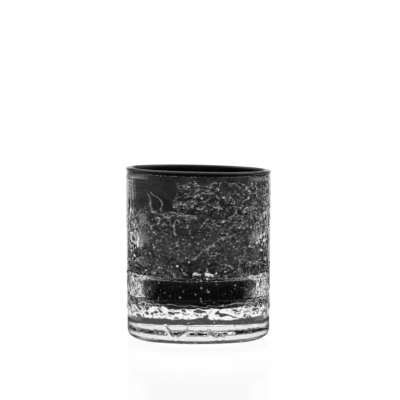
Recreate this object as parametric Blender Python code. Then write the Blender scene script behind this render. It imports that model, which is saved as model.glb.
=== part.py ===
"""Whiskey tumbler: a heavy clear glass casing, lined with a cup of near-black smoke glass.

Both pieces are turned about the Z axis. The casing stands on a narrow foot ring and holds the clear
part of the base. The lining is the drinking cup: a thin wall on a thick round floor, with a shallow waist
between them, and a lip that rolls out over the top of the casing as a round bead. The hand-finished mouth
leans a little towards +X.

Units are metres, +Z is up, and the origin is the middle of the foot, on the table.
"""

import math

import bmesh
import bpy

MM = 0.001

# Overall sizes
HEIGHT = 96 * MM  # table to the middle of the mouth
BEAD_OUTER_RADIUS = 41.0 * MM  # over the rim's bead
SEGMENTS = 60  # flats round every turned surface

# Casing, outside
WALL_TOP_RADIUS = 40.6 * MM  # under the bead
WALL_FOOT_RADIUS = 39.8 * MM  # where the heel begins
HEEL_RADIUS = 6 * MM
FOOT_RING_WIDTH = 5.5 * MM
PUNT_DEPTH = 1.5 * MM  # hollow under the base, at its middle

# Cavity, which is the inside of the lining
MOUTH_RADIUS = 37.5 * MM
BOWL_RADIUS = 32.0 * MM  # where the wall meets the floor's round corner
FLOOR_HEIGHT = 36 * MM
FLOOR_CORNER_RADIUS = 9 * MM

# Lining
LINING_WALL = 1.0 * MM
LINING_FLOOR = 17 * MM  # thickness of its floor
FLOOR_EDGE_RADIUS = 6 * MM  # rounding of the floor's lower edge
WAIST_HEIGHT = 0.9 * MM  # the waist round the outside, above the cavity's floor
WAIST_DEPTH = 0.7 * MM
WAIST_SPREAD = 2.2 * MM  # from the waist to full width, above it and below it
BEAD_HEIGHT = 2.2 * MM  # from its underside to its crest
FIT_GAP = 0.3 * MM  # between the lining and the casing, all over

# Hand finish of the mouth
RIM_DROP = 1.8 * MM  # how much lower the rim is at +X than at -X
LEAN_START = 55 * MM  # the walls start to lean with the rim above this height

# Fineness of the turned outlines
WALL_STEPS = 9
CORNER_STEPS = 5
WAIST_STEPS = 3
HEEL_STEPS = 5
BEAD_STEPS = 5
PUNT_STEPS = 3

# Sizes that follow from those
BEAD_HALF_WIDTH = (BEAD_OUTER_RADIUS - MOUTH_RADIUS) / 2
BEAD_RADIUS = MOUTH_RADIUS + BEAD_HALF_WIDTH  # the circle that the bead's middle follows
BEAD_MIDDLE = HEIGHT - BEAD_HEIGHT / 2
CORNER_TOP = FLOOR_HEIGHT + FLOOR_CORNER_RADIUS
WAIST_MIDDLE = FLOOR_HEIGHT + WAIST_HEIGHT
WAIST_TOP = WAIST_MIDDLE + WAIST_SPREAD
FOOT_RADIUS = WALL_FOOT_RADIUS - HEEL_RADIUS
PUNT_RADIUS = FOOT_RADIUS - FOOT_RING_WIDTH


def arc(middle, radii, start, end, steps):
    """Points of an upright ellipse's arc, from start to end in degrees, as (radius, height)."""
    points = []
    for step in range(steps + 1):
        angle = math.radians(start + (end - start) * step / steps)
        points.append((middle[0] + radii[0] * math.cos(angle), middle[1] + radii[1] * math.sin(angle)))
    return points


def cavity_outline():
    """The drinking space from the floor's middle to the mouth. Its wall is a parabola, upright at the top."""
    fall = MOUTH_RADIUS - BOWL_RADIUS
    rise = BEAD_MIDDLE - CORNER_TOP
    slope = math.degrees(math.atan(2 * fall / rise))
    corner_middle = (BOWL_RADIUS - FLOOR_CORNER_RADIUS, CORNER_TOP)
    corner = arc(corner_middle, (FLOOR_CORNER_RADIUS,) * 2, -90, -slope, CORNER_STEPS)
    foot_of_wall = corner[-1]
    wall = []
    for step in range(1, WALL_STEPS + 1):
        height = foot_of_wall[1] + (BEAD_MIDDLE - foot_of_wall[1]) * step / WALL_STEPS
        below_mouth = (BEAD_MIDDLE - height) / (BEAD_MIDDLE - foot_of_wall[1])
        wall.append((MOUTH_RADIUS - (MOUTH_RADIUS - foot_of_wall[0]) * below_mouth**2, height))
    return [(0.0, FLOOR_HEIGHT)] + corner + wall


def moved_out(outline, distance):
    """An outline that runs up from the axis, pushed down and out by distance, square to itself."""
    moved = []
    last = len(outline) - 1
    for index, (radius, height) in enumerate(outline):
        before, after = outline[max(index - 1, 0)], outline[min(index + 1, last)]
        along = (after[0] - before[0], after[1] - before[1])
        length = math.hypot(*along)
        moved.append((radius + distance * along[1] / length, height - distance * along[0] / length))
    moved[0] = (0.0, outline[0][1] - distance)
    moved[-1] = (outline[-1][0] + distance, outline[-1][1])
    return moved


def bead_underside(clearance, inner_radius, outer_radius):
    """The bead's lower arc grown by clearance, from inner_radius out to outer_radius."""
    radii = (BEAD_HALF_WIDTH + clearance, BEAD_HEIGHT / 2 + clearance)
    start = -math.degrees(math.acos((inner_radius - BEAD_RADIUS) / radii[0]))
    end = -math.degrees(math.acos(min((outer_radius - BEAD_RADIUS) / radii[0], 1)))
    return arc((BEAD_RADIUS, BEAD_MIDDLE), radii, start, end, BEAD_STEPS)


def lining_outside():
    """The lining's outside from the middle of its underside to the mouth."""
    wall = [point for point in moved_out(cavity_outline(), LINING_WALL) if point[1] > WAIST_TOP]
    spread = (wall[1][0] - wall[0][0]) / (wall[1][1] - wall[0][1])
    full_radius = wall[0][0] - spread * (wall[0][1] - WAIST_TOP)
    underside = FLOOR_HEIGHT - LINING_FLOOR
    edge_middle = (full_radius - FLOOR_EDGE_RADIUS, underside + FLOOR_EDGE_RADIUS)
    edge = arc(edge_middle, (FLOOR_EDGE_RADIUS,) * 2, -90, 0, CORNER_STEPS)
    waist = []
    for step in range(-WAIST_STEPS, WAIST_STEPS + 1):
        depth = WAIST_DEPTH * (1 + math.cos(math.pi * step / WAIST_STEPS)) / 2
        waist.append((full_radius - depth, WAIST_MIDDLE + WAIST_SPREAD * step / WAIST_STEPS))
    return [(0.0, underside)] + edge + waist + wall


def lining_outline():
    """Closed outline of the lining: up its inside, over the bead, under it, and down its outside."""
    inside = cavity_outline()
    over = arc((BEAD_RADIUS, BEAD_MIDDLE), (BEAD_HALF_WIDTH, BEAD_HEIGHT / 2), 180, 0, 2 * BEAD_STEPS)
    under = bead_underside(0, MOUTH_RADIUS + LINING_WALL, BEAD_OUTER_RADIUS)[::-1]
    outside = [point for point in lining_outside()[::-1] if point[1] < under[-1][1]]
    return inside[:-1] + over[:-1] + under + outside


def casing_outline():
    """Closed outline of the casing: its punt, foot, heel and wall, its top under the bead, and its inside."""
    punt_top = [
        (PUNT_RADIUS * step / PUNT_STEPS, PUNT_DEPTH * (1 - (step / PUNT_STEPS) ** 2))
        for step in range(PUNT_STEPS + 1)
    ]
    heel = arc((FOOT_RADIUS, HEEL_RADIUS), (HEEL_RADIUS,) * 2, -90, 0, HEEL_STEPS)
    top = bead_underside(FIT_GAP, MOUTH_RADIUS + LINING_WALL + FIT_GAP, WALL_TOP_RADIUS)[::-1]
    wall = []
    for step in range(1, WALL_STEPS):
        share = step / WALL_STEPS
        radius = WALL_FOOT_RADIUS + (WALL_TOP_RADIUS - WALL_FOOT_RADIUS) * share
        wall.append((radius, HEEL_RADIUS + (top[0][1] - HEEL_RADIUS) * share))
    inside = [point for point in moved_out(lining_outside(), FIT_GAP)[::-1] if point[1] < top[-1][1]]
    return punt_top + heel + wall + top + inside


def lean_with_rim(mesh):
    """Lowers the +X side of the mouth and lifts the other, fading out down to LEAN_START."""
    for vertex in mesh.verts:
        fade = max(vertex.co.z - LEAN_START, 0) / (HEIGHT - LEAN_START)
        vertex.co.z -= RIM_DROP / 2 * fade * vertex.co.x / BEAD_OUTER_RADIUS


def glass(name, colour, roughness, transmission):
    """A glass material."""
    material = bpy.data.materials.new(name)
    material.use_nodes = True
    shader = material.node_tree.nodes["Principled BSDF"]
    shader.inputs["Base Color"].default_value = (*colour, 1)
    shader.inputs["Roughness"].default_value = roughness
    shader.inputs["Metallic"].default_value = 0
    shader.inputs["Transmission Weight"].default_value = transmission
    shader.inputs["IOR"].default_value = 1.52
    material.diffuse_color = (*colour, 1)
    return material


def turned(name, outline, material):
    """One closed glass piece, spun from its outline about Z."""
    mesh = bmesh.new()
    corners = [mesh.verts.new((radius, 0, height)) for radius, height in outline]
    edges = [mesh.edges.new(pair) for pair in zip(corners, corners[1:])]
    bmesh.ops.spin(
        mesh,
        geom=corners + edges,
        cent=(0, 0, 0),
        axis=(0, 0, 1),
        angle=math.tau,
        steps=SEGMENTS,
        use_merge=True,
    )
    bmesh.ops.remove_doubles(mesh, verts=mesh.verts, dist=0.001 * MM)
    bmesh.ops.recalc_face_normals(mesh, faces=mesh.faces)
    lean_with_rim(mesh)
    data = bpy.data.meshes.new(name)
    mesh.to_mesh(data)
    mesh.free()
    data.shade_smooth()
    data.set_sharp_from_angle(angle=math.radians(40))
    data.materials.append(material)
    piece = bpy.data.objects.new(name, data)
    bpy.context.scene.collection.objects.link(piece)
    return piece


def clear_scene():
    for item in list(bpy.data.objects):
        bpy.data.objects.remove(item)


def main():
    clear_scene()
    clear_glass = glass("clear_glass", (0.80, 0.82, 0.83), 0.05, 1.0)
    smoke_glass = glass("smoke_glass", (0.012, 0.012, 0.013), 0.04, 0.2)
    turned("clear_casing", casing_outline(), clear_glass)
    turned("smoke_lining", lining_outline(), smoke_glass)


main()
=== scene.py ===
import itertools
import math
import random

import bpy
import numpy as np
from mathutils import Matrix, Vector


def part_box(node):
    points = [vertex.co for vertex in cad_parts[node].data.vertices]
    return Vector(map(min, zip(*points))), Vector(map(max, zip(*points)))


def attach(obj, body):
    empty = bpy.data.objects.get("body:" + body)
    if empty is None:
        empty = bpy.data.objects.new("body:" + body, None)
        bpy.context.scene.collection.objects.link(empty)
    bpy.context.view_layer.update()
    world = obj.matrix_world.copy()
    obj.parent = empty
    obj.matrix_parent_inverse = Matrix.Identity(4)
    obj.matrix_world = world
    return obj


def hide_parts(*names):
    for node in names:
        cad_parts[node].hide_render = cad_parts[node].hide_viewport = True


# Whiskey tumbler: a clear hand-textured casing over a smoke glass cup. Metres, +Z up, and the side that is
# looked at faces -Y. "turn" is the angle round the glass from that side, in degrees, positive towards +X.

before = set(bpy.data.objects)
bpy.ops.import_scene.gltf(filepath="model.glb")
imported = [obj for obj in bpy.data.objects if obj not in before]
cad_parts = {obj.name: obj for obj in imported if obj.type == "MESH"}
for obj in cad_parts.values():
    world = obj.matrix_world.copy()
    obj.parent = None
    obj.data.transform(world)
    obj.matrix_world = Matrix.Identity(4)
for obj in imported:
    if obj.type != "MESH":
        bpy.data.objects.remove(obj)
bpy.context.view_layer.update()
_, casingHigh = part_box("clear_casing")
_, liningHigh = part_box("smoke_lining")
mm = 0.001

rim = {
    "outerRadius": liningHigh.x,  # over the bead
    "mouthRadius": 37.5 * mm,
    "beadHeight": 2.2 * mm,
    "drop": 1.8 * mm,  # how much lower the rim is at +X than at -X
    "crestShare": 0.958,  # how far out the bead's crest is, as a share of its outer radius
    "leanStart": 55 * mm,
}
rim["halfWidth"] = (rim["outerRadius"] - rim["mouthRadius"]) / 2
rim["radius"] = rim["mouthRadius"] + rim["halfWidth"]
# the bead's crest before the lean, which lifts it most at -X
rim["top"] = liningHigh.z - rim["drop"] / 2 * rim["crestShare"]
rim["middle"] = rim["top"] - rim["beadHeight"] / 2


def deselectAll():
    for thing in list(bpy.context.selected_objects):
        thing.select_set(False)


def arcPoints(middle, radii, start, end, steps):
    points = []
    for step in range(steps + 1):
        angle = math.radians(start + (end - start) * step / steps)
        points.append((middle[0] + radii[0] * math.cos(angle), middle[1] + radii[1] * math.sin(angle)))
    return points


def drawOutline(name, points):
    # one vertex, extruded from point to point in the XZ plane
    deselectAll()
    radius, height = points[0]
    bpy.ops.mesh.primitive_plane_add(size=1 * mm, location=(radius, 0, height))
    piece = bpy.context.active_object
    piece.name = piece.data.name = name
    bpy.ops.object.mode_set(mode="EDIT")
    bpy.ops.mesh.select_mode(type="VERT")
    bpy.ops.mesh.select_all(action="SELECT")
    bpy.ops.mesh.merge(type="CENTER")
    for (r0, z0), (r1, z1) in zip(points, points[1:]):
        bpy.ops.mesh.extrude_region_move(TRANSFORM_OT_translate={"value": (r1 - r0, 0, z1 - z0)})
    bpy.ops.object.mode_set(mode="OBJECT")
    bpy.ops.object.transform_apply(location=True, rotation=True, scale=True)
    return piece


def selectEdges(piece, test):
    # picks the edges whose middle passes the test, and leaves the piece in edit mode
    bpy.ops.object.mode_set(mode="EDIT")
    bpy.ops.mesh.select_mode(type="EDGE")
    bpy.ops.mesh.select_all(action="DESELECT")
    bpy.ops.object.mode_set(mode="OBJECT")
    for edge in piece.data.edges:
        ends = [piece.data.vertices[i].co for i in edge.vertices]
        edge.select = test((ends[0] + ends[1]) / 2)
    bpy.ops.object.mode_set(mode="EDIT")


def spinOutline(piece, steps):
    bpy.ops.object.mode_set(mode="EDIT")
    bpy.ops.mesh.select_mode(type="VERT")
    bpy.ops.mesh.select_all(action="SELECT")
    bpy.ops.mesh.spin(steps=steps, dupli=False, angle=math.tau, center=(0, 0, 0), axis=(0, 0, 1))
    bpy.ops.mesh.select_all(action="SELECT")
    bpy.ops.mesh.remove_doubles(threshold=0.002 * mm)
    bpy.ops.mesh.normals_make_consistent(inside=False)
    bpy.ops.object.mode_set(mode="OBJECT")
    print(piece.name, "spun:", len(piece.data.polygons), "faces")


def leanWithRim(piece):
    # lowers the +X side of the mouth and lifts the other, fading out down to leanStart
    for vertex in piece.data.vertices:
        fade = max(vertex.co.z - rim["leanStart"], 0) / (rim["top"] - rim["leanStart"])
        vertex.co.z -= rim["drop"] / 2 * fade * vertex.co.x / rim["outerRadius"]


# the inner cup, whose outline the casing follows too
cup = {
    "floor": 36 * mm,
    "floorCorner": 9 * mm,  # rounding between the floor and the wall
    "cornerSteps": 9,
    "bowlRadius": 32.0 * mm,
    "wall": 1.0 * mm,
    "floorThickness": 17 * mm,
    "floorEdge": 6 * mm,  # rounding of the thick floor's lower edge
    "waistHeight": 0.9 * mm,  # above the floor
    "waistDepth": 0.7 * mm,
    "waistSpread": 2.2 * mm,
    "wallClear": 0.3 * mm,  # from the waist to the wall's first point
    "sideClear": 0.4 * mm,  # from the curves to the straight side's own points
    "gap": 0.3 * mm,  # between the cup and the casing
}


def cavityOutline(wallSteps, cornerSteps):
    # the drinking space, from its floor's middle to the mouth; the wall is a parabola, upright at the top
    cornerTop = cup["floor"] + cup["floorCorner"]
    spread = rim["mouthRadius"] - cup["bowlRadius"]
    slope = math.degrees(math.atan(2 * spread / (rim["middle"] - cornerTop)))
    cornerMiddle = (cup["bowlRadius"] - cup["floorCorner"], cornerTop)
    corner = arcPoints(cornerMiddle, (cup["floorCorner"],) * 2, -90, -slope, cornerSteps)
    footRadius, footHeight = corner[-1]
    wall = []
    for step in range(1, wallSteps + 1):
        height = footHeight + (rim["middle"] - footHeight) * step / wallSteps
        below = (rim["middle"] - height) / (rim["middle"] - footHeight)
        wall.append((rim["mouthRadius"] - (rim["mouthRadius"] - footRadius) * below**2, height))
    return [(0.0, cup["floor"])] + corner + wall


def movedOut(outline, distance):
    # an outline that runs up from the axis, pushed down and out, square to itself
    moved = []
    last = len(outline) - 1
    for index, (radius, height) in enumerate(outline):
        before, after = outline[max(index - 1, 0)], outline[min(index + 1, last)]
        along = (after[0] - before[0], after[1] - before[1])
        length = math.hypot(*along)
        moved.append((radius + distance * along[1] / length, height - distance * along[0] / length))
    moved[0] = (0.0, outline[0][1] - distance)
    moved[-1] = (outline[-1][0] + distance, outline[-1][1])
    return moved


def cupOutside(wallSteps, edgeSteps, waistSteps):
    # from the middle of the cup's underside to the mouth
    waistMiddle = cup["floor"] + cup["waistHeight"]
    waistTop = waistMiddle + cup["waistSpread"]
    wall = movedOut(cavityOutline(wallSteps, cup["cornerSteps"]), cup["wall"])
    wall = [point for point in wall if point[1] > waistTop + cup["wallClear"]]
    slope = (wall[1][0] - wall[0][0]) / (wall[1][1] - wall[0][1])
    fullRadius = wall[0][0] - slope * (wall[0][1] - waistTop)
    underside = cup["floor"] - cup["floorThickness"]
    edgeMiddle = (fullRadius - cup["floorEdge"], underside + cup["floorEdge"])
    edge = arcPoints(edgeMiddle, (cup["floorEdge"],) * 2, -90, 0, edgeSteps)
    # two points keep the shading of the straight side straight
    sideTop = waistMiddle - cup["waistSpread"] - cup["sideClear"]
    side = [(fullRadius, edge[-1][1] + cup["sideClear"]), (fullRadius, sideTop)]
    waist = []
    for step in range(-waistSteps, waistSteps + 1):
        depth = cup["waistDepth"] * (1 + math.cos(math.pi * step / waistSteps)) / 2
        waist.append((fullRadius - depth, waistMiddle + cup["waistSpread"] * step / waistSteps))
    return [(0.0, underside)] + edge + side + waist + wall


def beadUnderside(clearance, innerRadius, outerRadius, steps):
    # the bead's lower arc, grown by clearance
    radii = (rim["halfWidth"] + clearance, rim["beadHeight"] / 2 + clearance)
    start = -math.degrees(math.acos((innerRadius - rim["radius"]) / radii[0]))
    end = -math.degrees(math.acos(min((outerRadius - rim["radius"]) / radii[0], 1)))
    return arcPoints((rim["radius"], rim["middle"]), radii, start, end, steps)


# the casing's hand-made outside; a zone is four heights in mm: it starts, is full, begins to end, has ended
relief = {
    "depth": 0.6 * mm,  # from the lowest to the highest place
    "lowest": 1.0 * mm,
    "highest": 92 * mm,
    "fade": (1.5 * mm, 1.0 * mm),  # above the lowest and below the highest
    "smoothBand": (22, 25, 34, 36.5),  # beside the cup's thick floor
    "baseChips": (16, 17.5, 21.5, 24),
    "waistChips": (36, 38, 41, 50),
    # how high each kind stands, as a share of the depth
    "ropes": 0.42,
    "chips": 0.42,
    "lumps": 0.13,
    "grain": 0.05,
    "lumpsOnFlank": 0.15,  # more of them where the wall turns away to the sides
    "grainOnFlank": 0.12,
    "grainUnderRopes": 0.03,  # less of it there
}


def smoothStep(values, low, high):
    share = np.clip((values - low) / (high - low), 0, 1)
    return share * share * (3 - 2 * share)


def inZone(heights, zone):
    return smoothStep(heights, *zone[:2]) * (1 - smoothStep(heights, *zone[2:]))


def cloud(places, size, seed):
    # smooth random values of about -1 to 1 that change over a distance of size, which may be (x, y, z)
    pick = np.random.RandomState(seed)
    order = np.tile(pick.permutation(256), 2)
    slopes = pick.normal(size=(256, 3))
    slopes /= np.linalg.norm(slopes, axis=1, keepdims=True)
    scaled = places / np.array(size)
    cell = np.floor(scaled).astype(int)
    inside = scaled - cell
    fade = inside**3 * (inside * (inside * 6 - 15) + 10)
    total = np.zeros(len(places))
    for corner in itertools.product((0, 1), repeat=3):
        at = (cell + corner) & 255
        slope = slopes[order[order[order[at[:, 0]] + at[:, 1]] + at[:, 2]]]
        weight = np.prod(np.where(corner, fade, 1 - fade), axis=1)
        total += weight * ((inside - corner) * slope).sum(axis=1)
    return 1.6 * total


def chipped(places, size, seed):
    # flat facets, each tilted its own way, with sharp steps between them, about -1 to 1
    pick = np.random.RandomState(seed)
    shifts = pick.uniform(0.1, 0.9, size=(4096, 3))
    tilts = pick.normal(size=(4096, 3))
    levels = pick.uniform(-0.6, 0.6, size=4096)
    scaled = places / np.array(size)
    cell = np.floor(scaled).astype(int)
    nearest = np.full(len(places), 99.0)
    height = np.zeros(len(places))
    for offset in itertools.product((-1, 0, 1), repeat=3):
        at = cell + offset
        # large odd numbers scatter the cells over the 4096 random facets
        key = (at[:, 0] * 73856093 ^ at[:, 1] * 19349663 ^ at[:, 2] * 83492791) & 4095
        away = scaled - at - shifts[key]
        distance = (away**2).sum(axis=1)
        closer = distance < nearest
        nearest = np.where(closer, distance, nearest)
        height = np.where(closer, levels[key] + 0.9 * (away * tilts[key]).sum(axis=1), height)
    return np.clip(height, -1, 1)


# marks, listed as (turn, height in mm); each is a ridge outside and a thread of air inside
longDiagonal = [(-7, 46.7), (-1, 49), (5, 52.2), (12, 55), (19, 58.7), (28, 60), (36, 61)]
shortArc = [(-15, 70), (-19, 68.6), (-21, 64.2), (-17, 59.8)]

# ridges: places along each, width in mm, and height as a share of the depth. After the two marks come the two
# sides of the leaf and the cracks in the foot.
handRidges = [
    (longDiagonal, 0.6, 0.9),
    (shortArc, 0.55, 0.8),
    ([(-46, 84), (-42, 80.2), (-40, 76), (-39, 73.6), (-32, 71.1)], 0.55, 1.0),
    ([(-44, 85), (-38, 82), (-33, 80), (-30, 77.8), (-33, 76)], 0.55, 0.7),
    ([(-27, 10), (-22.3, 5.8), (-19, 2.3)], 0.5, 0.9),
    ([(-8.2, 8), (-13.5, 5.8), (-18, 2.5)], 0.5, 0.9),
    ([(8.6, 8), (10.7, 5), (15, 3.6), (17.2, 5.2), (21, 3.4)], 0.5, 0.9),
]


def ridgeHeight(turns, heights, path, width):
    # 1 on the path, falling to 0 over about two widths
    best = np.full(len(turns), 99.0)
    radius = casing["wallFoot"] / mm
    for (t0, h0), (t1, h1) in zip(path, path[1:]):
        ax, ay = np.radians(turns - t0) * radius, heights - h0
        bx, by = math.radians(t1 - t0) * radius, h1 - h0
        share = np.clip((ax * bx + ay * by) / (bx * bx + by * by), 0, 1)
        best = np.minimum(best, np.hypot(ax - share * bx, ay - share * by))
    return np.exp(-((best / width) ** 2))


def calmShare(places, turns, heights):
    # 1 where the wall was left smooth: a patch up to the left, and a collar under the bead
    ragged = heights + 5 * cloud(places, 8, 8)
    swayed = turns + 22 * cloud(places, 12, 9)
    calm = smoothStep(ragged, 70, 76) * smoothStep(-swayed, 8, 22) * smoothStep(swayed, -135, -110)
    return np.maximum(calm, smoothStep(heights, 89.5, 91))


def reliefShare(places):
    # for places in mm: 0 is the deepest and 1 the highest
    heights = places[:, 2]
    turns = np.degrees(np.arctan2(places[:, 0], -places[:, 1]))
    drift = np.stack([cloud(places, 9, seed) for seed in (1, 2, 3)], axis=1)
    bent = places + 3.5 * drift
    ropes = (1 - np.abs(cloud(bent, (7, 7, 2.8), 4))) ** 5
    lumps = cloud(bent, 2.6, 5)
    grain = cloud(places, 1.0, 6) + 0.6 * cloud(places, 0.6, 16)
    chips = chipped(bent, (4.2, 4.2, 2.8), 7)

    calm = calmShare(places, turns, heights)
    offMiddle = np.abs((turns + 90) % 180 - 90)  # degrees from the front or the back, whichever is nearer
    flank = smoothStep(offMiddle, 44, 58) * smoothStep(heights, 8, 14)
    beside = smoothStep(offMiddle + 3 * drift[:, 0], 47, 54)
    band = inZone(heights, relief["smoothBand"]) * (1 - beside)
    upper = smoothStep(heights, 58, 68)
    chipMask = np.maximum(inZone(heights, relief["baseChips"]), 0.8 * inZone(heights, relief["waistChips"]))
    low = 1 - smoothStep(heights, 15, 17)
    foot = 1 - smoothStep(heights, 8, 9.5)
    foot = foot * (1 + 1.1 * smoothStep(places[:, 1], 0, 15) * smoothStep(places[:, 0], -14, -4))
    rough = (1 - calm) * (1 - 0.93 * band) * (1 - 0.92 * low + 0.42 * foot)

    lumps *= relief["lumps"] + relief["lumpsOnFlank"] * flank
    grain *= relief["grain"] - relief["grainUnderRopes"] * upper + relief["grainOnFlank"] * flank
    ropes = upper * relief["ropes"] * (ropes - 0.35)
    chips *= chipMask * relief["chips"]
    share = 0.5 + rough * (ropes + lumps + grain + chips)
    for path, width, lift in handRidges:
        share += 0.5 * lift * ridgeHeight(turns, heights, path, width)
    return np.clip(share, 0, 1)


def carveRelief(piece, radiusOver):
    # weight-paints the relief where the radius is over radiusOver, and raises it
    lowest, highest = relief["lowest"], relief["highest"]
    group = piece.vertex_groups.new(name="relief")
    places = np.array([vertex.co for vertex in piece.data.vertices])
    outside = np.hypot(places[:, 0], places[:, 1]) > radiusOver
    chosen = np.flatnonzero(outside & (places[:, 2] > lowest) & (places[:, 2] < highest))
    places = places[chosen]
    shares = reliefShare(places / mm)
    shares *= smoothStep(places[:, 2], lowest, lowest + relief["fade"][0])
    shares *= 1 - smoothStep(places[:, 2], highest - relief["fade"][1], highest)
    for index, share in zip(chosen.tolist(), shares.tolist()):
        group.add([index], share, "REPLACE")
    carve = piece.modifiers.new("relief", "DISPLACE")
    carve.vertex_group = "relief"
    carve.direction = "NORMAL"
    carve.mid_level = 0
    carve.strength = relief["depth"]
    bpy.context.view_layer.objects.active = piece
    bpy.ops.object.modifier_apply(modifier="relief")
    piece.vertex_groups.clear()


casing = {
    "wallTop": casingHigh.x - 0.1 * mm,  # a little under size, as the relief stands up from it
    "wallFoot": 39.8 * mm,
    "heel": 6 * mm,
    "footRing": 5.5 * mm,
    "puntDepth": 1.5 * mm,
    "steps": 410,  # round the axis
    "wallRows": 140,
    "puntSteps": 5,
    "heelSteps": 12,
    "topSteps": 6,
    "insideSteps": (26, 8, 7),  # up the wall, round the floor's edge, and over half of the waist
}

bubbles = {
    "scattered": 90,
    "sizes": (0.22 * mm, 0.75 * mm),  # radius, most of them near the small end
    "lowest": 3 * mm,
    "spread": 75 * mm,  # of their heights, most of them near the foot
    "flatness": 0.85,
    "cover": 0.35 * mm,  # least glass over a bubble
    "laidDepth": 0.9,  # from 0 at the casing's inside to 1 at its outside
    # listed one by one, as (turn, height in mm, radius in mm)
    "laid": [
        (-15, 83.5, 0.42), (-12, 80.2, 0.55), (5, 81.4, 0.5), (32, 83.8, 0.55), (19, 92.2, 0.4),
        (20, 75.2, 0.5), (27, 88, 0.4), (-33, 62, 0.6), (41, 50, 0.75), (-38, 53, 0.7), (22, 49, 0.5),
        (-12, 30, 0.6), (9, 29.5, 0.5), (2, 26, 0.45), (-24, 27, 0.4), (31, 31, 0.5), (-27, 10.5, 0.8),
        (14, 12.5, 0.55), (-9, 12, 0.5), (33, 10, 0.6), (-36, 14, 0.6),
    ],
}


def casingInside():
    return movedOut(cupOutside(*casing["insideSteps"]), cup["gap"])


def wallRoom(height, size):
    # least and greatest radius for a bubble's middle inside the casing's glass
    least = 0
    if height >= cup["floor"] - cup["floorThickness"] - 1 * mm:  # lower down there is glass right to the axis
        inside = sorted((z, r) for r, z in casingInside() if r > cup["bowlRadius"] * 0.7)
        least = np.interp(height, *zip(*inside))
    sink = casing["heel"] - math.sqrt(max(casing["heel"] ** 2 - max(casing["heel"] - height, 0) ** 2, 0))
    return least + size + bubbles["cover"], casing["wallFoot"] - sink - size - bubbles["cover"]


def addBubbles(piece):
    # one round hollow, its faces turned inwards, copied to each place and joined to the glass
    deselectAll()
    bpy.ops.mesh.primitive_ico_sphere_add(subdivisions=2, radius=1)
    hollow = bpy.context.active_object
    bpy.ops.object.mode_set(mode="EDIT")
    bpy.ops.mesh.select_all(action="SELECT")
    bpy.ops.mesh.flip_normals()
    bpy.ops.object.mode_set(mode="OBJECT")
    hollow.data.shade_smooth()
    places = [(turn, height * mm, size * mm, bubbles["laidDepth"]) for turn, height, size in bubbles["laid"]]
    pick = random.Random(12)
    smallest, biggest = bubbles["sizes"]
    while len(places) < len(bubbles["laid"]) + bubbles["scattered"]:
        turn = pick.uniform(-180, 180)
        height = bubbles["lowest"] + bubbles["spread"] * pick.random() ** 1.6
        size = smallest + (biggest - smallest) * pick.random() ** 3
        places.append((turn, height, size, pick.random()))
    copies = []
    for turn, height, size, depth in places:
        least, greatest = wallRoom(height, size)
        if greatest < least:
            continue
        reach = least + (greatest - least) * depth
        angle = math.radians(turn)
        copy = hollow.copy()
        copy.data = hollow.data.copy()
        middle = Vector((reach * math.sin(angle), -reach * math.cos(angle), height))
        squashed = Matrix.Diagonal((size, size, size * bubbles["flatness"], 1))
        copy.data.transform(Matrix.Translation(middle) @ squashed)
        bpy.context.scene.collection.objects.link(copy)
        copies.append(copy)
    bpy.data.objects.remove(hollow)
    deselectAll()
    for copy in copies:
        copy.select_set(True)
    piece.select_set(True)
    bpy.context.view_layer.objects.active = piece
    bpy.ops.object.join()
    print(len(copies), "bubbles in the casing")


def casingOutline():
    # from the middle of the punt, round the outside and the top, and down the inside to the axis
    footRadius = casing["wallFoot"] - casing["heel"]
    puntRadius = footRadius - casing["footRing"]
    shares = [step / casing["puntSteps"] for step in range(casing["puntSteps"] + 1)]
    punt = [(puntRadius * share, casing["puntDepth"] * (1 - share**2)) for share in shares]
    heel = arcPoints((footRadius, casing["heel"]), (casing["heel"],) * 2, -90, 0, casing["heelSteps"])
    innerTop = rim["mouthRadius"] + cup["wall"] + cup["gap"]
    top = beadUnderside(cup["gap"], innerTop, casing["wallTop"], casing["topSteps"])[::-1]
    inside = [point for point in casingInside()[::-1] if point[1] < top[-1][1]]
    return punt + heel + top + inside


def buildCasing():
    piece = drawOutline("clearCasing", casingOutline())
    # the outer wall is one long edge, so it gets its rows here
    middle = (casing["heel"] + rim["middle"]) / 2
    selectEdges(piece, lambda p: p.x > casing["wallFoot"] - 0.1 * mm and abs(p.z - middle) < 5 * mm)
    bpy.ops.mesh.subdivide(number_cuts=casing["wallRows"])
    bpy.ops.object.mode_set(mode="OBJECT")
    spinOutline(piece, casing["steps"])
    carveRelief(piece, casing["wallFoot"] - casing["heel"] * 0.55)
    leanWithRim(piece)
    piece.data.shade_smooth()
    addBubbles(piece)
    print("casing:", sum(len(face.vertices) - 2 for face in piece.data.polygons), "triangles")
    return piece


lining = {
    "steps": 240,  # round the axis
    "rows": 60,  # up the wall
    "edgeSteps": 10,
    "waistSteps": 9,
    "insideSteps": (24, 10),  # up the wall, and round the floor's corner
    "beadSteps": 10,
    # brightness of the clean smoke glass, of the smoke at the casing, of what is caught between them, and of
    # the painted highlights, shadow and sparkle on it
    "clean": 0.001,
    "smoke": 0.0105,
    "sand": 0.17,
    "web": 0.06,
    # the painted highlight on the ropes' crests, and the painted glints on it
    "ropes": 0.15,
    "paintedGlints": 0.6,
    "threads": 0.26,
    # seeds of air, painted bright as their sparkle
    "seedsAndSparkle": 0.75,
    "chalk": 0.85,
    "paleUnderside": 0.35,  # the floor's underside, painted pale
    "ropeShadow": 0.8,  # share of the brightness that a rope's painted shadow takes away
    "brightest": 0.9,  # no place is brighter
}

# chalky patches at the waist, as (turn, height in mm)
chalkRound = [
    [(-6, 37.8), (-3, 38.8), (0, 38.2), (3, 39.4)],
    [(7, 39.6), (10, 38.6), (15, 38.0)],
]

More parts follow.
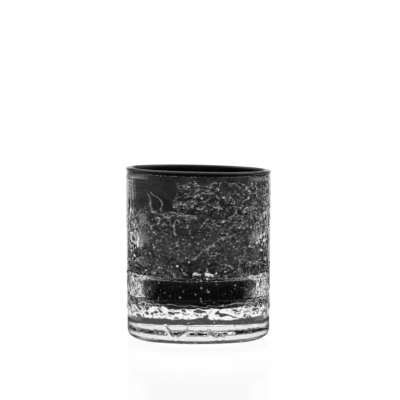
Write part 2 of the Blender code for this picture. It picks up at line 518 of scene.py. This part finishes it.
# threads of air, as (turn, height in mm)
threadsRound = [
    longDiagonal,
    [(-30, 71.5), (-24, 73.5), (-18, 72.6), (-12, 71.8), (-6, 72.4)],
]
threadsUp = [
    shortArc,
    [(-46, 84), (-43, 80.2), (-42, 76), (-40, 73.6), (-36, 71.1)],
    [(-44, 85), (-38, 82), (-33, 80), (-31, 77.8), (-36, 74)],
]


def paintClouding(piece):
    # paints how much sand, ropes, seeds with their painted sparkle, pale underside and smoke each place has,
    # on the outside only
    places = np.array([vertex.co for vertex in piece.data.vertices]) / mm
    heights = places[:, 2]
    turns = np.degrees(np.arctan2(places[:, 0], -places[:, 1]))
    reach = np.hypot(places[:, 0], places[:, 1])
    outline = cavityOutline(*lining["insideSteps"])[1:]
    cavity = np.interp(heights, *zip(*[(z / mm, r / mm) for r, z in outline]))
    outside = ((reach > cavity + 0.5) | (heights < cup["floor"] / mm - 0.2)) & (heights < 92.5)
    wall = smoothStep(heights, 35.5, 37.5)
    calm = calmShare(places, turns, heights)
    sides = smoothStep(np.abs(turns + 4), 28, 62)
    low = 1 - smoothStep(heights, 40, 50)
    patches = smoothStep(cloud(places + 4 * cloud(places, 7, 33)[:, None], (10, 10, 6), 31), -0.35, 0.35)
    ropy = smoothStep(heights, 60, 72)
    worked = wall * (1 - calm)
    lowSand = np.maximum(sides, low * patches)
    amounts = {
        "grain": worked * (1 - 0.65 * ropy) * (0.12 + 0.75 * patches + 0.8 * lowSand),
        "ropes": worked * (0.5 + ropy),
        "seedsAndSparkle": worked * (0.3 + 0.9 * np.maximum(sides * (1 - smoothStep(heights, 60, 80)), low))
        + 0.28 * (1 - wall),
        # the underside of the floor, painted pale
        "paleUnderside": 1 - smoothStep(heights, 19.5, 20.5),
        "smoke": 0.06 + 0.94 * wall,
    }
    for name, values in amounts.items():
        layer = piece.data.attributes.new(name, "FLOAT", "POINT")
        layer.data.foreach_set("value", (values * outside).astype(np.float32))


def buildLining():
    # up the inside, over the bead, under it, and down the outside to the axis
    inside = cavityOutline(*lining["insideSteps"])
    beadRadii = (rim["halfWidth"], rim["beadHeight"] / 2)
    over = arcPoints((rim["radius"], rim["middle"]), beadRadii, 180, 0, 2 * lining["beadSteps"])
    under = beadUnderside(0, rim["mouthRadius"] + cup["wall"], rim["outerRadius"], lining["beadSteps"])[::-1]
    outside = cupOutside(lining["rows"], lining["edgeSteps"], lining["waistSteps"])[::-1]
    outside = [point for point in outside if point[1] < under[-1][1]]
    piece = drawOutline("smokeLining", inside[:-1] + over[:-1] + under + outside)
    spinOutline(piece, lining["steps"])
    paintClouding(piece)
    leanWithRim(piece)
    piece.data.shade_smooth()
    return piece


def newMaterial(name):
    # the material, its node tree and its shader
    material = bpy.data.materials.new(name)
    material.use_nodes = True
    return material, material.node_tree, material.node_tree.nodes["Principled BSDF"]


def addNode(tree, kind, links=(), **settings):
    # settings are properties of the node, or its sockets' values with _ for a space
    node = tree.nodes.new(kind)
    for key, value in settings.items():
        if hasattr(node, key):
            setattr(node, key, value)
        else:
            node.inputs[key.replace("_", " ")].default_value = value
    for source, socket in links:
        tree.links.new(source, node.inputs[socket])
    return node


def clearGlass():
    material, tree, shader = newMaterial("clearGlass")
    shader.inputs["Base Color"].default_value = (0.985, 0.99, 0.992, 1)
    shader.inputs["Roughness"].default_value = 0.0
    shader.inputs["IOR"].default_value = 1.5
    shader.inputs["Transmission Weight"].default_value = 1
    place = addNode(tree, "ShaderNodeTexCoord").outputs["Object"]
    grain = addNode(tree, "ShaderNodeTexNoise", [(place, "Vector")], Scale=1400.0, Detail=2.0)
    bump = addNode(tree, "ShaderNodeBump", [(grain.outputs[0], "Height")], Strength=0.05, Distance=0.1 * mm)
    tree.links.new(bump.outputs["Normal"], shader.inputs["Normal"])
    return material


def mathNode(tree, operation, *values):
    node = tree.nodes.new("ShaderNodeMath")
    node.operation = operation
    for socket, value in zip(node.inputs, values):
        if isinstance(value, (int, float)):
            socket.default_value = value
        else:
            tree.links.new(value, socket)
    return node.outputs[0]


def between(tree, value, low, high):
    # 0 below low, 1 above high, smooth between them; low may be the greater one
    node = tree.nodes.new("ShaderNodeMapRange")
    node.interpolation_type = "SMOOTHSTEP"
    tree.links.new(value, node.inputs["Value"])
    node.inputs["From Min"].default_value = low
    node.inputs["From Max"].default_value = high
    return node.outputs[0]


def laidLine(tree, along, across, points, width):
    # 1 on a line whose across follows along through the points, 0 beside it and past its ends
    points = sorted(points)
    start, end = points[0][0], points[-1][0]
    lows, highs = min(p[1] for p in points), max(p[1] for p in points)
    share = mathNode(tree, "DIVIDE", mathNode(tree, "SUBTRACT", along, start), end - start)
    curve = tree.nodes.new("ShaderNodeFloatCurve")
    tree.links.new(share, curve.inputs["Value"])
    handles = curve.mapping.curves[0].points
    for index, (place, level) in enumerate(points):
        spot = ((place - start) / (end - start), (level - lows) / (highs - lows))
        if index < len(handles):
            handles[index].location = spot
        else:
            handles.new(*spot)
    curve.mapping.update()
    target = mathNode(tree, "MULTIPLY_ADD", curve.outputs[0], highs - lows, lows)
    away = mathNode(tree, "ABSOLUTE", mathNode(tree, "SUBTRACT", across, target))
    line = between(tree, away, width, 0.0)
    ends = mathNode(tree, "MULTIPLY", between(tree, share, 0.0, 0.12), between(tree, share, 1.0, 0.88))
    return mathNode(tree, "MULTIPLY", line, ends)


def smokeGlass():
    material, tree, shader = newMaterial("smokeGlass")
    shader.inputs["Roughness"].default_value = 0.12
    shader.inputs["IOR"].default_value = 1.5
    shader.inputs["Specular IOR Level"].default_value = 0.25
    spot = addNode(tree, "ShaderNodeTexCoord").outputs["Object"]
    x, y, z = addNode(tree, "ShaderNodeSeparateXYZ", [(spot, 0)]).outputs

    def painted(name):
        return addNode(tree, "ShaderNodeAttribute", attribute_name=name).outputs["Fac"]

    def times(first, *others):
        for other in others:
            first = mathNode(tree, "MULTIPLY", first, other)
        return first

    def plus(first, *others):
        for other in others:
            first = mathNode(tree, "ADD", first, other)
        return first

    def distance(first, second):
        return mathNode(tree, "ABSOLUTE", mathNode(tree, "SUBTRACT", first, second))

    def strongest(values):
        most = values[0]
        for value in values[1:]:
            most = mathNode(tree, "MAXIMUM", most, value)
        return most

    def noise(size, **settings):
        return addNode(tree, "ShaderNodeTexNoise", [(spot, "Vector")], Scale=1 / size, **settings).outputs[0]

    # turn in degrees and height in mm, both swaying a little so that what is listed one by one isn't too even
    wobble = times(mathNode(tree, "SUBTRACT", noise(6.25 * mm, Detail=3.0), 0.5), 5.0)
    turn = plus(mathNode(tree, "DEGREES", mathNode(tree, "ARCTAN2", x, times(y, -1.0))), wobble)
    height = plus(mathNode(tree, "DIVIDE", z, mm), times(wobble, 0.4))

    # sand, a coarser fleck in it, and big soft pools where the smoke is darker
    fine = noise(1.25 * mm, Detail=2.0, Roughness=0.6)
    coarse = noise(3.6 * mm, Detail=3.0, Distortion=1.4)
    pools = noise(8 * mm, Detail=2.0, Distortion=0.8)
    sand = times(between(tree, fine, 0.53, 0.61), between(tree, coarse, 0.42, 0.6))
    shade = mathNode(tree, "MULTIPLY_ADD", between(tree, pools, 0.36, 0.6), 1.15, 0.3)

    # ropes: bent strands of two sizes, each with a painted highlight on its crest and a painted shadow beside
    # it, and painted glints along them
    squash = addNode(tree, "ShaderNodeMapping", [(spot, "Vector")],
                     Scale=(1, 1, 2.2), Rotation=(0.25, 0.5, 0)).outputs[0]

    def ropeHighlightAndShadow(size, thin):
        strands = addNode(tree, "ShaderNodeTexNoise", [(squash, "Vector")],
                          Scale=1 / size, Detail=2.5, Distortion=1.8).outputs[0]
        # a painted highlight on the strand's crest, and a painted shadow beside it
        crestHighlight = between(tree, distance(strands, 0.5), thin, 0.3 * thin)
        paintedShadow = between(tree, distance(strands, 0.5 + 1.8 * thin), 1.5 * thin, 0.3 * thin)
        return crestHighlight, paintedShadow

    ropeCrestHighlight, ropePaintedShadow = ropeHighlightAndShadow(15 * mm, 0.02)
    smallCrestHighlight, smallPaintedShadow = ropeHighlightAndShadow(8 * mm, 0.024)
    broken = between(tree, coarse, 0.44, 0.58)
    ropeCrestHighlight = strongest([times(ropeCrestHighlight, between(tree, coarse, 0.3, 0.45)), times(smallCrestHighlight, broken)])
    ropePaintedShadow = strongest([ropePaintedShadow, times(smallPaintedShadow, broken)])
    # painted glints: bright specks on the ropes' painted highlight
    paintedGlints = times(ropeCrestHighlight, between(tree, fine, 0.58, 0.63))

    # a web of fine cracks, bent by up to 2.6 mm
    swirl = addNode(tree, "ShaderNodeTexNoise", [(spot, "Vector")], Scale=260.0, Detail=2.0).outputs["Color"]
    bend = addNode(tree, "ShaderNodeVectorMath", [(swirl, 0), (spot, 2)], operation="MULTIPLY_ADD")
    bend.inputs[1].default_value = (2.6 * mm, 2.6 * mm, 2.6 * mm)
    cells = addNode(tree, "ShaderNodeTexVoronoi", [(bend.outputs[0], "Vector")],
                    Scale=260.0, feature="DISTANCE_TO_EDGE")
    web = times(between(tree, cells.outputs["Distance"], 0.07, 0.015), between(tree, coarse, 0.42, 0.6))

    # round seeds of a few sizes, painted bright as their sparkle
    dots = addNode(tree, "ShaderNodeTexVoronoi", [(spot, "Vector")], Scale=640.0)
    pick = addNode(tree, "ShaderNodeSeparateColor", [(dots.outputs["Color"], 0)])
    size = times(between(tree, pick.outputs[0], 0.78, 1.0), 0.45)
    seedsAndSparkle = between(tree, mathNode(tree, "SUBTRACT", size, dots.outputs["Distance"]), 0.0, 0.1)

    # what is listed one by one; a thread's half width is 0.75 mm, or 1.2 degrees where it runs up
    roundLines = [laidLine(tree, turn, height, points, 0.75) for points in threadsRound]
    upLines = [laidLine(tree, height, turn, [(h, t) for t, h in points], 1.2) for points in threadsUp]
    uneven = mathNode(tree, "MULTIPLY_ADD", between(tree, fine, 0.38, 0.6), 0.75, 0.25)
    threads = times(strongest(roundLines + upLines), uneven)
    patches = strongest([laidLine(tree, turn, height, points, 1.5) for points in chalkRound])
    chalk = times(between(tree, patches, 0.2, 0.5), between(tree, fine, 0.36, 0.5))

    # the brightness is the sum of them all, in the amounts painted on the piece
    ropes, grain = painted("ropes"), painted("grain")
    level = times(shade, painted("smoke"), lining["smoke"])
    level = plus(level, times(sand, grain, lining["sand"]), times(web, grain, lining["web"]))
    # the ropes' painted shadow darkens the level, and their painted highlight and painted glints brighten it
    level = times(level, mathNode(tree, "SUBTRACT", 1.0, times(ropePaintedShadow, ropes, lining["ropeShadow"])))
    level = plus(level, times(ropeCrestHighlight, ropes, lining["ropes"]), times(paintedGlints, ropes, lining["paintedGlints"]))
    level = plus(level, times(threads, lining["threads"]), times(chalk, lining["chalk"]))
    # the seeds, with their painted sparkle
    level = plus(level, times(seedsAndSparkle, painted("seedsAndSparkle"), lining["seedsAndSparkle"]))
    # the floor's pale painted underside, and the clean glass everywhere
    level = plus(level, times(painted("paleUnderside"), shade, lining["paleUnderside"]), lining["clean"])
    level = mathNode(tree, "MINIMUM", level, lining["brightest"])
    grey = addNode(tree, "ShaderNodeCombineColor", [(level, 0), (level, 1), (level, 2)])
    tree.links.new(grey.outputs[0], shader.inputs["Base Color"])

    bumps = plus(times(sand, 0.5), times(ropeCrestHighlight, ropes), threads)
    bump = addNode(tree, "ShaderNodeBump", [(bumps, "Height")], Strength=0.5, Distance=0.2 * mm)
    tree.links.new(bump.outputs["Normal"], shader.inputs["Normal"])
    return material


glass = buildCasing()
glass.data.materials.append(clearGlass())
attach(glass, "root")
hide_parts("clear_casing")
print("casing ready")

liner = buildLining()
liner.data.materials.append(smokeGlass())
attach(liner, "root")
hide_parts("smoke_lining")
print("lining ready")


studio = {
    "cameraDistance": 1478 * mm,
    "cameraHeight": 176 * mm,
    "aimHeight": 78 * mm,
    "aimSide": 0.9 * mm,
    "lens": 235.9,
    "floorRadius": 412 * mm,
    "background": 1.05,  # what the camera sees of the room
    "tableGlow": 0.94,
    "tableGloss": 0.07,
    "tableRoughness": 0.1,
    "brightest": 4.0,  # for the glass, the room is as bright as this times the shares below
    # far part of the table, by angle from +Y
    "farTable": [(-180, 0.045), (-75, 0.05), (-56, 0.04), (-53, 0.04), (-52, 0.25), (-50, 0.25), (-49, 0.03),
                 (-43, 0.03), (-42, 0.4), (-39, 0.4), (-38, 0.008), (-30, 0.008), (-27, 0.23), (-9, 0.23),
                 (-6, 0.02), (6, 0.02), (9, 0.23), (27, 0.23), (30, 0.008), (40, 0.008), (41, 0.4),
                 (45, 0.4), (46, 0.03), (56, 0.04), (75, 0.05), (180, 0.045)],
    # the front half where the glass lets it straight through; where the glass mirrors it, riseFront
    # and tableFront hold
    "plainFront": 0.2,
    "plainTable": 0.9,
    # brightness by angle above the table, behind the glass and in front of it
    "riseBehind": [(0, 0.22), (14, 0.22), (16, 0.02), (24, 0.02), (30, 0.25), (50, 0.6), (90, 0.3)],
    "riseFront": [(0, 0.05), (22, 0.03), (26, 0.9), (37, 1.0), (41, 0.05), (90, 0.05)],
    # brightness of the table near the glass, by distance in mm, in front of it and behind it
    "tableFront": [(0, 0.01), (404, 0.004), (410, 0.15)],
    "tableBehind": [(0, 0.9), (31, 0.9), (34, 0.02), (58, 0.02), (62, 0.012), (125, 0.012), (128, 1),
                    (198, 1), (202, 0.02), (222, 0.02), (226, 1), (280, 1), (284, 0.02), (365, 0.02)],
    # how far the room counts as behind, by angle from +Y
    "backness": [(-100, 0), (-70, 1), (70, 1), (100, 0)],
    # what lights the surfaces that scatter, by angle above the table
    "softLight": [(-90, 0.35), (0, 0.45), (90, 1.1)],
}


def ramp(tree, value, stops):
    # stops are (place from 0 to 1, brightness)
    node = addNode(tree, "ShaderNodeValToRGB", [(value, "Fac")])
    elements = node.color_ramp.elements
    while len(elements) > 1:
        elements.remove(elements[-1])
    for index, (place, level) in enumerate(stops):
        element = elements[0] if index == 0 else elements.new(place)
        element.position = place
        element.color = (level, level, level, 1)
    return node.outputs["Color"]


def blendLevels(tree, factor, first, second):
    # first where factor is 0, second where it is 1; either can be a plain number
    node = tree.nodes.new("ShaderNodeMix")
    node.data_type = "RGBA"
    tree.links.new(factor, node.inputs["Factor"])
    for socket, level in ((node.inputs["A"], first), (node.inputs["B"], second)):
        if isinstance(level, (int, float)):
            socket.default_value = (level, level, level, 1)
        else:
            tree.links.new(level, socket)
    return node.outputs["Result"]


def studioWorld():
    # white to the camera; for what the glass mirrors and bends, a room with dark and bright parts
    world = bpy.data.worlds.new("studio")
    bpy.context.scene.world = world
    world.use_nodes = True
    tree = world.node_tree
    tree.nodes.clear()
    place = addNode(tree, "ShaderNodeTexCoord").outputs["Generated"]
    x, y, z = addNode(tree, "ShaderNodeSeparateXYZ", [(place, 0)]).outputs
    side = mathNode(tree, "DIVIDE", mathNode(tree, "ARCTAN2", x, y), math.tau)
    side = mathNode(tree, "ADD", side, 0.5)  # 0.5 is +Y, 0.25 is -X, 0.75 is +X
    rise = mathNode(tree, "ADD", mathNode(tree, "DIVIDE", mathNode(tree, "ARCSINE", z), math.pi), 0.5)

    def bySide(name):
        return ramp(tree, side, [(0.5 + degrees / 360, level) for degrees, level in studio[name]])

    def byRise(name):
        return ramp(tree, rise, [(0.5 + degrees / 180, level) for degrees, level in studio[name]])

    backness = bySide("backness")
    upper = blendLevels(tree, backness, byRise("riseFront"), byRise("riseBehind"))
    aboveTable = mathNode(tree, "GREATER_THAN", z, 0.0)
    room = blendLevels(tree, aboveTable, bySide("farTable"), upper)

    path = addNode(tree, "ShaderNodeLightPath")
    notMirrored = mathNode(tree, "LESS_THAN", path.outputs["Glossy Depth"], 0.5)
    straight = mathNode(tree, "MULTIPLY", mathNode(tree, "SUBTRACT", 1.0, backness), notMirrored)
    room = blendLevels(tree, straight, room, studio["plainFront"])
    scattered = mathNode(tree, "GREATER_THAN", path.outputs["Diffuse Depth"], 0.5)
    room = blendLevels(tree, scattered, room, byRise("softLight"))
    seen = addNode(tree, "ShaderNodeBackground", Color=(1, 1, 1, 1), Strength=studio["background"])
    mirrored = addNode(tree, "ShaderNodeBackground", [(room, "Color")], Strength=studio["brightest"])
    mix = addNode(tree, "ShaderNodeMixShader",
                  [(path.outputs["Is Camera Ray"], 0), (mirrored.outputs[0], 1), (seen.outputs[0], 2)])
    addNode(tree, "ShaderNodeOutputWorld", [(mix.outputs[0], "Surface")])


def floorSheet():
    # white to the camera with a faint mirror image; the glass also sees the dark cards that lie on it
    deselectAll()
    bpy.ops.mesh.primitive_circle_add(vertices=128, radius=studio["floorRadius"], fill_type="NGON",
                                      location=(0, 0, -0.02 * mm))
    sheet = bpy.context.active_object
    sheet.name = "paleTable"
    material = bpy.data.materials.new("paleTable")
    material.use_nodes = True
    tree = material.node_tree
    tree.nodes.clear()
    place = addNode(tree, "ShaderNodeTexCoord").outputs["Object"]
    x, y, _ = addNode(tree, "ShaderNodeSeparateXYZ", [(place, 0)]).outputs
    squares = mathNode(tree, "ADD", mathNode(tree, "MULTIPLY", x, x), mathNode(tree, "MULTIPLY", y, y))
    reach = mathNode(tree, "DIVIDE", mathNode(tree, "SQRT", squares), studio["floorRadius"])

    def byReach(name):
        return ramp(tree, reach, [(away * mm / studio["floorRadius"], level) for away, level in studio[name]])

    path = addNode(tree, "ShaderNodeLightPath")
    mirroredRay = mathNode(tree, "GREATER_THAN", path.outputs["Glossy Depth"], 0.5)
    front = blendLevels(tree, mirroredRay, studio["plainTable"], byReach("tableFront"))
    cards = blendLevels(tree, mathNode(tree, "GREATER_THAN", y, 0.0), front, byReach("tableBehind"))
    colour = blendLevels(tree, path.outputs["Is Camera Ray"], cards, 1.0)
    glow = addNode(tree, "ShaderNodeEmission", [(colour, "Color")], Strength=studio["tableGlow"])
    grey = (studio["tableGloss"],) * 3 + (1,)
    gloss = addNode(tree, "ShaderNodeBsdfGlossy", Roughness=studio["tableRoughness"], Color=grey)
    both = addNode(tree, "ShaderNodeAddShader", [(glow.outputs[0], 0), (gloss.outputs[0], 1)])
    addNode(tree, "ShaderNodeOutputMaterial", [(both.outputs[0], "Surface")])
    sheet.data.materials.append(material)


def placeCamera():
    bpy.ops.object.camera_add()
    camera = bpy.context.active_object
    camera.name = "camera"
    camera.location = (studio["aimSide"], -studio["cameraDistance"], studio["cameraHeight"])
    aim = Vector((studio["aimSide"], 0, studio["aimHeight"])) - camera.location
    camera.rotation_euler = aim.to_track_quat("-Z", "Y").to_euler()
    camera.data.lens = studio["lens"]
    camera.data.sensor_width = 36
    camera.data.clip_start = 10 * mm
    bpy.context.scene.camera = camera


floorSheet()
studioWorld()
placeCamera()
bpy.context.scene.view_settings.view_transform = "Standard"
print("studio ready")
